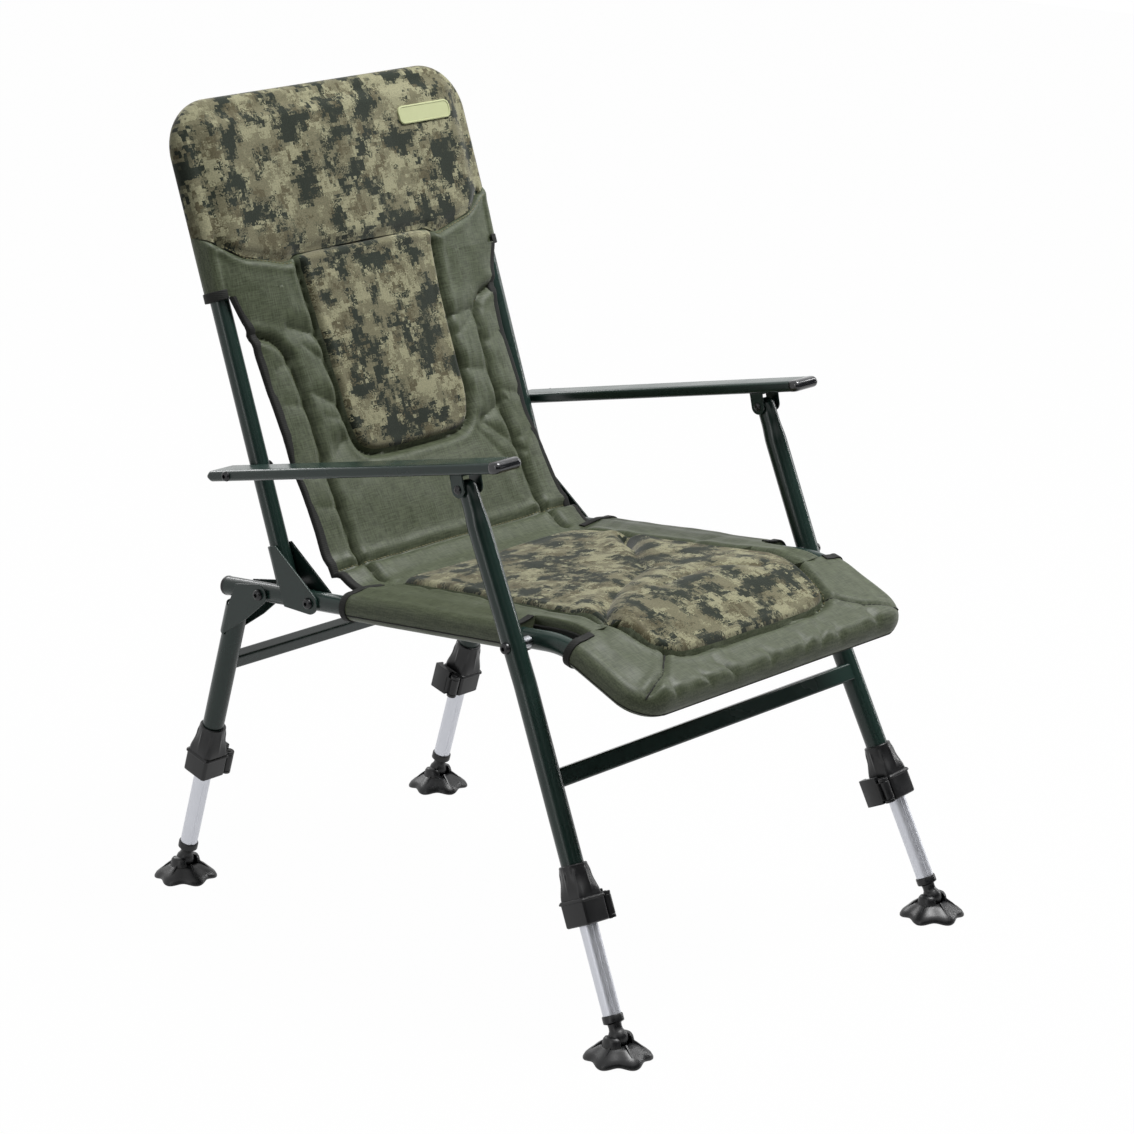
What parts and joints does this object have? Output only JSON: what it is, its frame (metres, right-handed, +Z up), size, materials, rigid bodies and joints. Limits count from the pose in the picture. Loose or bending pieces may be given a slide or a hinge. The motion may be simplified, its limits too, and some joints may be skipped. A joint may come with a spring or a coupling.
{
  "type": "folding fishing chair",
  "caption": "Low folding bank chair with a padded reclined back, padded seat, flat tube armrests, telescopic legs with cam locks and ball-jointed mud feet",
  "frame": {"origin": "on the ground under the middle of the feet", "axes": "+Z up, -Y the way the sitter faces, +X to the sitter's left"},
  "size_m": [0.6226, 0.8078, 0.9265],
  "materials": {
    "frame_paint": "satin dark green powder coat",
    "inner_tube": "pale satin drawn tube",
    "black_bolt": "black dome-head bolts",
    "bright_steel": "plain rivets and spacers",
    "black_plastic": "moulded black nylon",
    "cap_plastic": "glossy dark grey moulding",
    "nylon": "olive woven polyester, padded and sewn",
    "fleece": null,
    "badge": "plain pale green rubber tag"
  },
  "bodies": {
    "seat": {"seat_frame": "frame_paint", "rail_plug_left": "black_plastic", "rail_plug_right": "black_plastic", "seat_pad": "nylon", "back_hinge_bolt_left": "black_bolt", "back_hinge_bolt_right": "black_bolt", "rear_hinge_bolt_left": "black_bolt", "rear_hinge_bolt_right": "black_bolt", "leg_pivot_bolt_left": "black_bolt", "leg_pivot_bolt_right": "black_bolt", "leg_pivot_spacer_left": "bright_steel", "leg_pivot_spacer_right": "bright_steel"},
    "back": {"back_frame": "frame_paint", "back_gusset_left": "frame_paint", "back_gusset_right": "frame_paint", "back_pad": "nylon", "head_pad": "fleece", "head_badge": "badge", "lumbar_flap": "nylon"},
    "front_legs": {"front_leg_left": "frame_paint", "front_leg_right": "frame_paint", "front_cross_bar": "frame_paint", "front_lock_left": "black_plastic", "front_lock_right": "black_plastic"},
    "rear_legs": {"rear_leg_left": "frame_paint", "rear_leg_right": "frame_paint", "rear_gusset_left": "frame_paint", "rear_gusset_right": "frame_paint", "rear_cross_bar": "frame_paint", "rear_lock_left": "black_plastic", "rear_lock_right": "black_plastic"},
    "arm_left": {"armrest_left": "frame_paint", "arm_cap_left": "cap_plastic", "arm_clevis_left": "frame_paint", "clevis_rivet_outer_left": "bright_steel", "clevis_rivet_inner_left": "bright_steel", "arm_bolt_left": "black_bolt"},
    "front_extension_left": {"front_inner_leg_left": "inner_tube", "front_ball_stem_left": "black_plastic"},
    "front_foot_left": {"front_foot_left": "black_plastic"},
    "front_lever_left": {"front_lock_lever_left": "black_plastic"},
    "rear_extension_left": {"rear_inner_leg_left": "inner_tube", "rear_ball_stem_left": "black_plastic"},
    "rear_foot_left": {"rear_foot_left": "black_plastic"},
    "rear_lever_left": {"rear_lock_lever_left": "black_plastic"},
    "arm_right": {"armrest_right": "frame_paint", "arm_cap_right": "cap_plastic", "arm_clevis_right": "frame_paint", "clevis_rivet_outer_right": "bright_steel", "clevis_rivet_inner_right": "bright_steel", "arm_bolt_right": "black_bolt"},
    "front_extension_right": {"front_inner_leg_right": "inner_tube", "front_ball_stem_right": "black_plastic"},
    "front_foot_right": {"front_foot_right": "black_plastic"},
    "front_lever_right": {"front_lock_lever_right": "black_plastic"},
    "rear_extension_right": {"rear_inner_leg_right": "inner_tube", "rear_ball_stem_right": "black_plastic"},
    "rear_foot_right": {"rear_foot_right": "black_plastic"},
    "rear_lever_right": {"rear_lock_lever_right": "black_plastic"}
  },
  "joints": [
    {"name": "back_fold", "type": "hinge", "parent": "seat", "child": "back", "pos_m": [0, 0.1345, 0.3896], "axis": [1, 0, 0], "range_deg": [0, 97], "deforming": ["lumbar_flap"]},
    {"name": "front_leg_fold", "type": "hinge", "parent": "seat", "child": "front_legs", "pos_m": [0, -0.19685, 0.41335], "axis": [1, 0, 0], "range_deg": [0, 97]},
    {"name": "rear_leg_fold", "type": "hinge", "parent": "seat", "child": "rear_legs", "pos_m": [0, 0.21489, 0.38384], "axis": [-1, 0, 0], "range_deg": [0, 104]},
    {"name": "arm_hinge_left", "type": "hinge", "parent": "back", "child": "arm_left", "pos_m": [-0.2495, 0.2214, 0.529], "axis": [1, 0, 0], "range_deg": [-90.21, 0]},
    {"name": "front_leg_extend_left", "type": "slide", "parent": "front_legs", "child": "front_extension_left", "axis": [-0.068, -0.4035, -0.9125], "range_m": [-0.09, 0.06]},
    {"name": "front_foot_tilt_left", "type": "hinge", "parent": "front_extension_left", "child": "front_foot_left", "pos_m": [-0.2756, -0.3678, 0.024], "axis": [1, 0, 0], "range_deg": [-15, 15]},
    {"name": "front_lock_lever_swing_left", "type": "hinge", "parent": "front_legs", "child": "front_lever_left", "pos_m": [-0.24214, -0.32319, 0.15247], "axis": [-0.068, -0.4035, -0.9125], "range_deg": [0, 105]},
    {"name": "rear_leg_extend_left", "type": "slide", "parent": "rear_legs", "child": "rear_extension_left", "axis": [0, 0.2966, -0.955], "range_m": [-0.09, 0.06]},
    {"name": "rear_foot_tilt_left", "type": "hinge", "parent": "rear_extension_left", "child": "rear_foot_left", "pos_m": [-0.2165, 0.3678, 0.024], "axis": [1, 0, 0], "range_deg": [-15, 15]},
    {"name": "rear_lock_lever_swing_left", "type": "hinge", "parent": "rear_legs", "child": "rear_lever_left", "pos_m": [-0.1925, 0.31604, 0.1519], "axis": [0, 0.2966, -0.955], "range_deg": [0, 105]},
    {"name": "arm_hinge_right", "type": "hinge", "parent": "back", "child": "arm_right", "pos_m": [0.2495, 0.2214, 0.529], "axis": [1, 0, 0], "range_deg": [-90.21, 0]},
    {"name": "front_leg_extend_right", "type": "slide", "parent": "front_legs", "child": "front_extension_right", "axis": [0.068, -0.4035, -0.9125], "range_m": [-0.09, 0.06]},
    {"name": "front_foot_tilt_right", "type": "hinge", "parent": "front_extension_right", "child": "front_foot_right", "pos_m": [0.2756, -0.3678, 0.024], "axis": [1, 0, 0], "range_deg": [-15, 15]},
    {"name": "front_lock_lever_swing_right", "type": "hinge", "parent": "front_legs", "child": "front_lever_right", "pos_m": [0.24214, -0.32319, 0.15247], "axis": [-0.068, 0.4035, 0.9125], "range_deg": [0, 105]},
    {"name": "rear_leg_extend_right", "type": "slide", "parent": "rear_legs", "child": "rear_extension_right", "axis": [0, 0.2966, -0.955], "range_m": [-0.09, 0.06]},
    {"name": "rear_foot_tilt_right", "type": "hinge", "parent": "rear_extension_right", "child": "rear_foot_right", "pos_m": [0.2165, 0.3678, 0.024], "axis": [1, 0, 0], "range_deg": [-15, 15]},
    {"name": "rear_lock_lever_swing_right", "type": "hinge", "parent": "rear_legs", "child": "rear_lever_right", "pos_m": [0.1925, 0.31604, 0.1519], "axis": [0, -0.2966, 0.955], "range_deg": [0, 105]}
  ],
  "couplings": [
    {"joint": "front_leg_fold", "follows": "back_fold", "ratio": 1},
    {"joint": "arm_hinge_left", "follows": "back_fold", "ratio": -0.93},
    {"joint": "arm_hinge_right", "follows": "back_fold", "ratio": -0.93}
  ]
}
